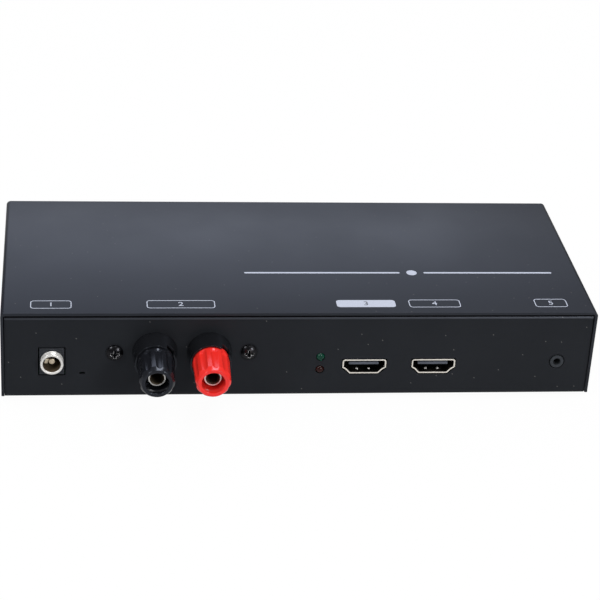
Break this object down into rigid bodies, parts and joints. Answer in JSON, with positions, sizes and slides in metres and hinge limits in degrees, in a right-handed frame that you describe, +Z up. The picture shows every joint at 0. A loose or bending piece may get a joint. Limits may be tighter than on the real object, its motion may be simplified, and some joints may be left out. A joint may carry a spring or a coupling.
{
  "type": "video extender transmitter",
  "caption": "Flat folded steel case with screw binding posts, power jack, indicator lamps, video sockets and a remote jack on its front panel, sending video over a wire pair.",
  "frame": {"origin": "on the table, under the middle of the whole unit's bounding box, posts included", "axes": "+X along the front to the right, +Y from the front panel to the back, +Z up"},
  "size_m": [0.2038, 0.105, 0.0342],
  "materials": {
    "cover_paint": "fine satin powder coat",
    "chassis_paint": "fine satin powder coat",
    "black_screw": "black oxide, gloss",
    "rubber": "matt",
    "board_green": "solder mask",
    "brass": "turned",
    "nickel": "bright nickel",
    "tinned": "bright tin",
    "steel": "zinc plate",
    "socket_steel": "warm nickel plate",
    "gold": "gold flash",
    "black_plastic": "moulded satin",
    "grey_plastic": "moulded satin",
    "gloss_black": "moulded gloss",
    "gloss_red": "moulded gloss",
    "lamp_green": "tinted clear, unlit",
    "lamp_red": "tinted clear, unlit",
    "aluminium": "extruded",
    "ferrite": "sintered",
    "coil_tape": "polyester tape"
  },
  "bodies": {
    "case": {"cover": "cover_paint", "chassis": "chassis_paint", "cover_screws": "black_screw", "rubber_feet": "rubber", "main_board": "board_green", "standoffs": "brass", "board_screws": "steel", "power_jack_body": "black_plastic", "power_jack_barrel": "nickel", "power_jack_pin": "brass", "power_jack_spring": "brass", "output_socket_shell": "socket_steel", "output_socket_tongue": "black_plastic", "output_socket_contacts": "gold", "input_socket_shell": "socket_steel", "input_socket_tongue": "black_plastic", "input_socket_contacts": "gold", "remote_jack_body": "grey_plastic", "remote_jack_contacts": "tinned", "green_lamp": "lamp_green", "red_lamp": "lamp_red", "lamp_legs": "tinned", "left_collar": "gloss_black", "right_collar": "gloss_black", "left_stud": "tinned", "right_stud": "tinned", "post_bushes": "black_plastic", "post_nuts": "steel", "solder_tags": "tinned", "post_board": "board_green", "board_spacers": "steel", "panel_screws": "black_screw", "panel_nuts": "steel", "link_header": "black_plastic", "link_pins": "gold", "processor_chip": "black_plastic", "heat_sink": "aluminium", "line_chip": "black_plastic", "memory_chips": "black_plastic", "capacitor_cans": "aluminium", "power_coils": "ferrite", "crystal_can": "tinned", "transformer_core": "ferrite", "transformer_coil": "coil_tape"},
    "black_sleeve": {"black_cap_sleeve": "brass"},
    "black_cap": {"black_cap": "gloss_black"},
    "red_sleeve": {"red_cap_sleeve": "brass"},
    "red_cap": {"red_cap": "gloss_red"}
  },
  "joints": [
    {"name": "black_cap_lift", "type": "slide", "parent": "case", "child": "black_sleeve", "axis": [0, -1, 0], "range_m": [0, 0.005]},
    {"name": "black_cap_turn", "type": "hinge", "parent": "black_sleeve", "child": "black_cap", "pos_m": [-0.0493, -0.0449, 0.0192], "axis": [0, -1, 0], "range_deg": [0, 1800]},
    {"name": "red_cap_lift", "type": "slide", "parent": "case", "child": "red_sleeve", "axis": [0, -1, 0], "range_m": [0, 0.005]},
    {"name": "red_cap_turn", "type": "hinge", "parent": "red_sleeve", "child": "red_cap", "pos_m": [-0.0311, -0.0449, 0.0192], "axis": [0, -1, 0], "range_deg": [0, 1800]}
  ],
  "couplings": [
    {"joint": "black_cap_turn", "follows": "black_cap_lift", "rad_per_m": 6283.2},
    {"joint": "red_cap_turn", "follows": "red_cap_lift", "rad_per_m": 6283.2}
  ]
}
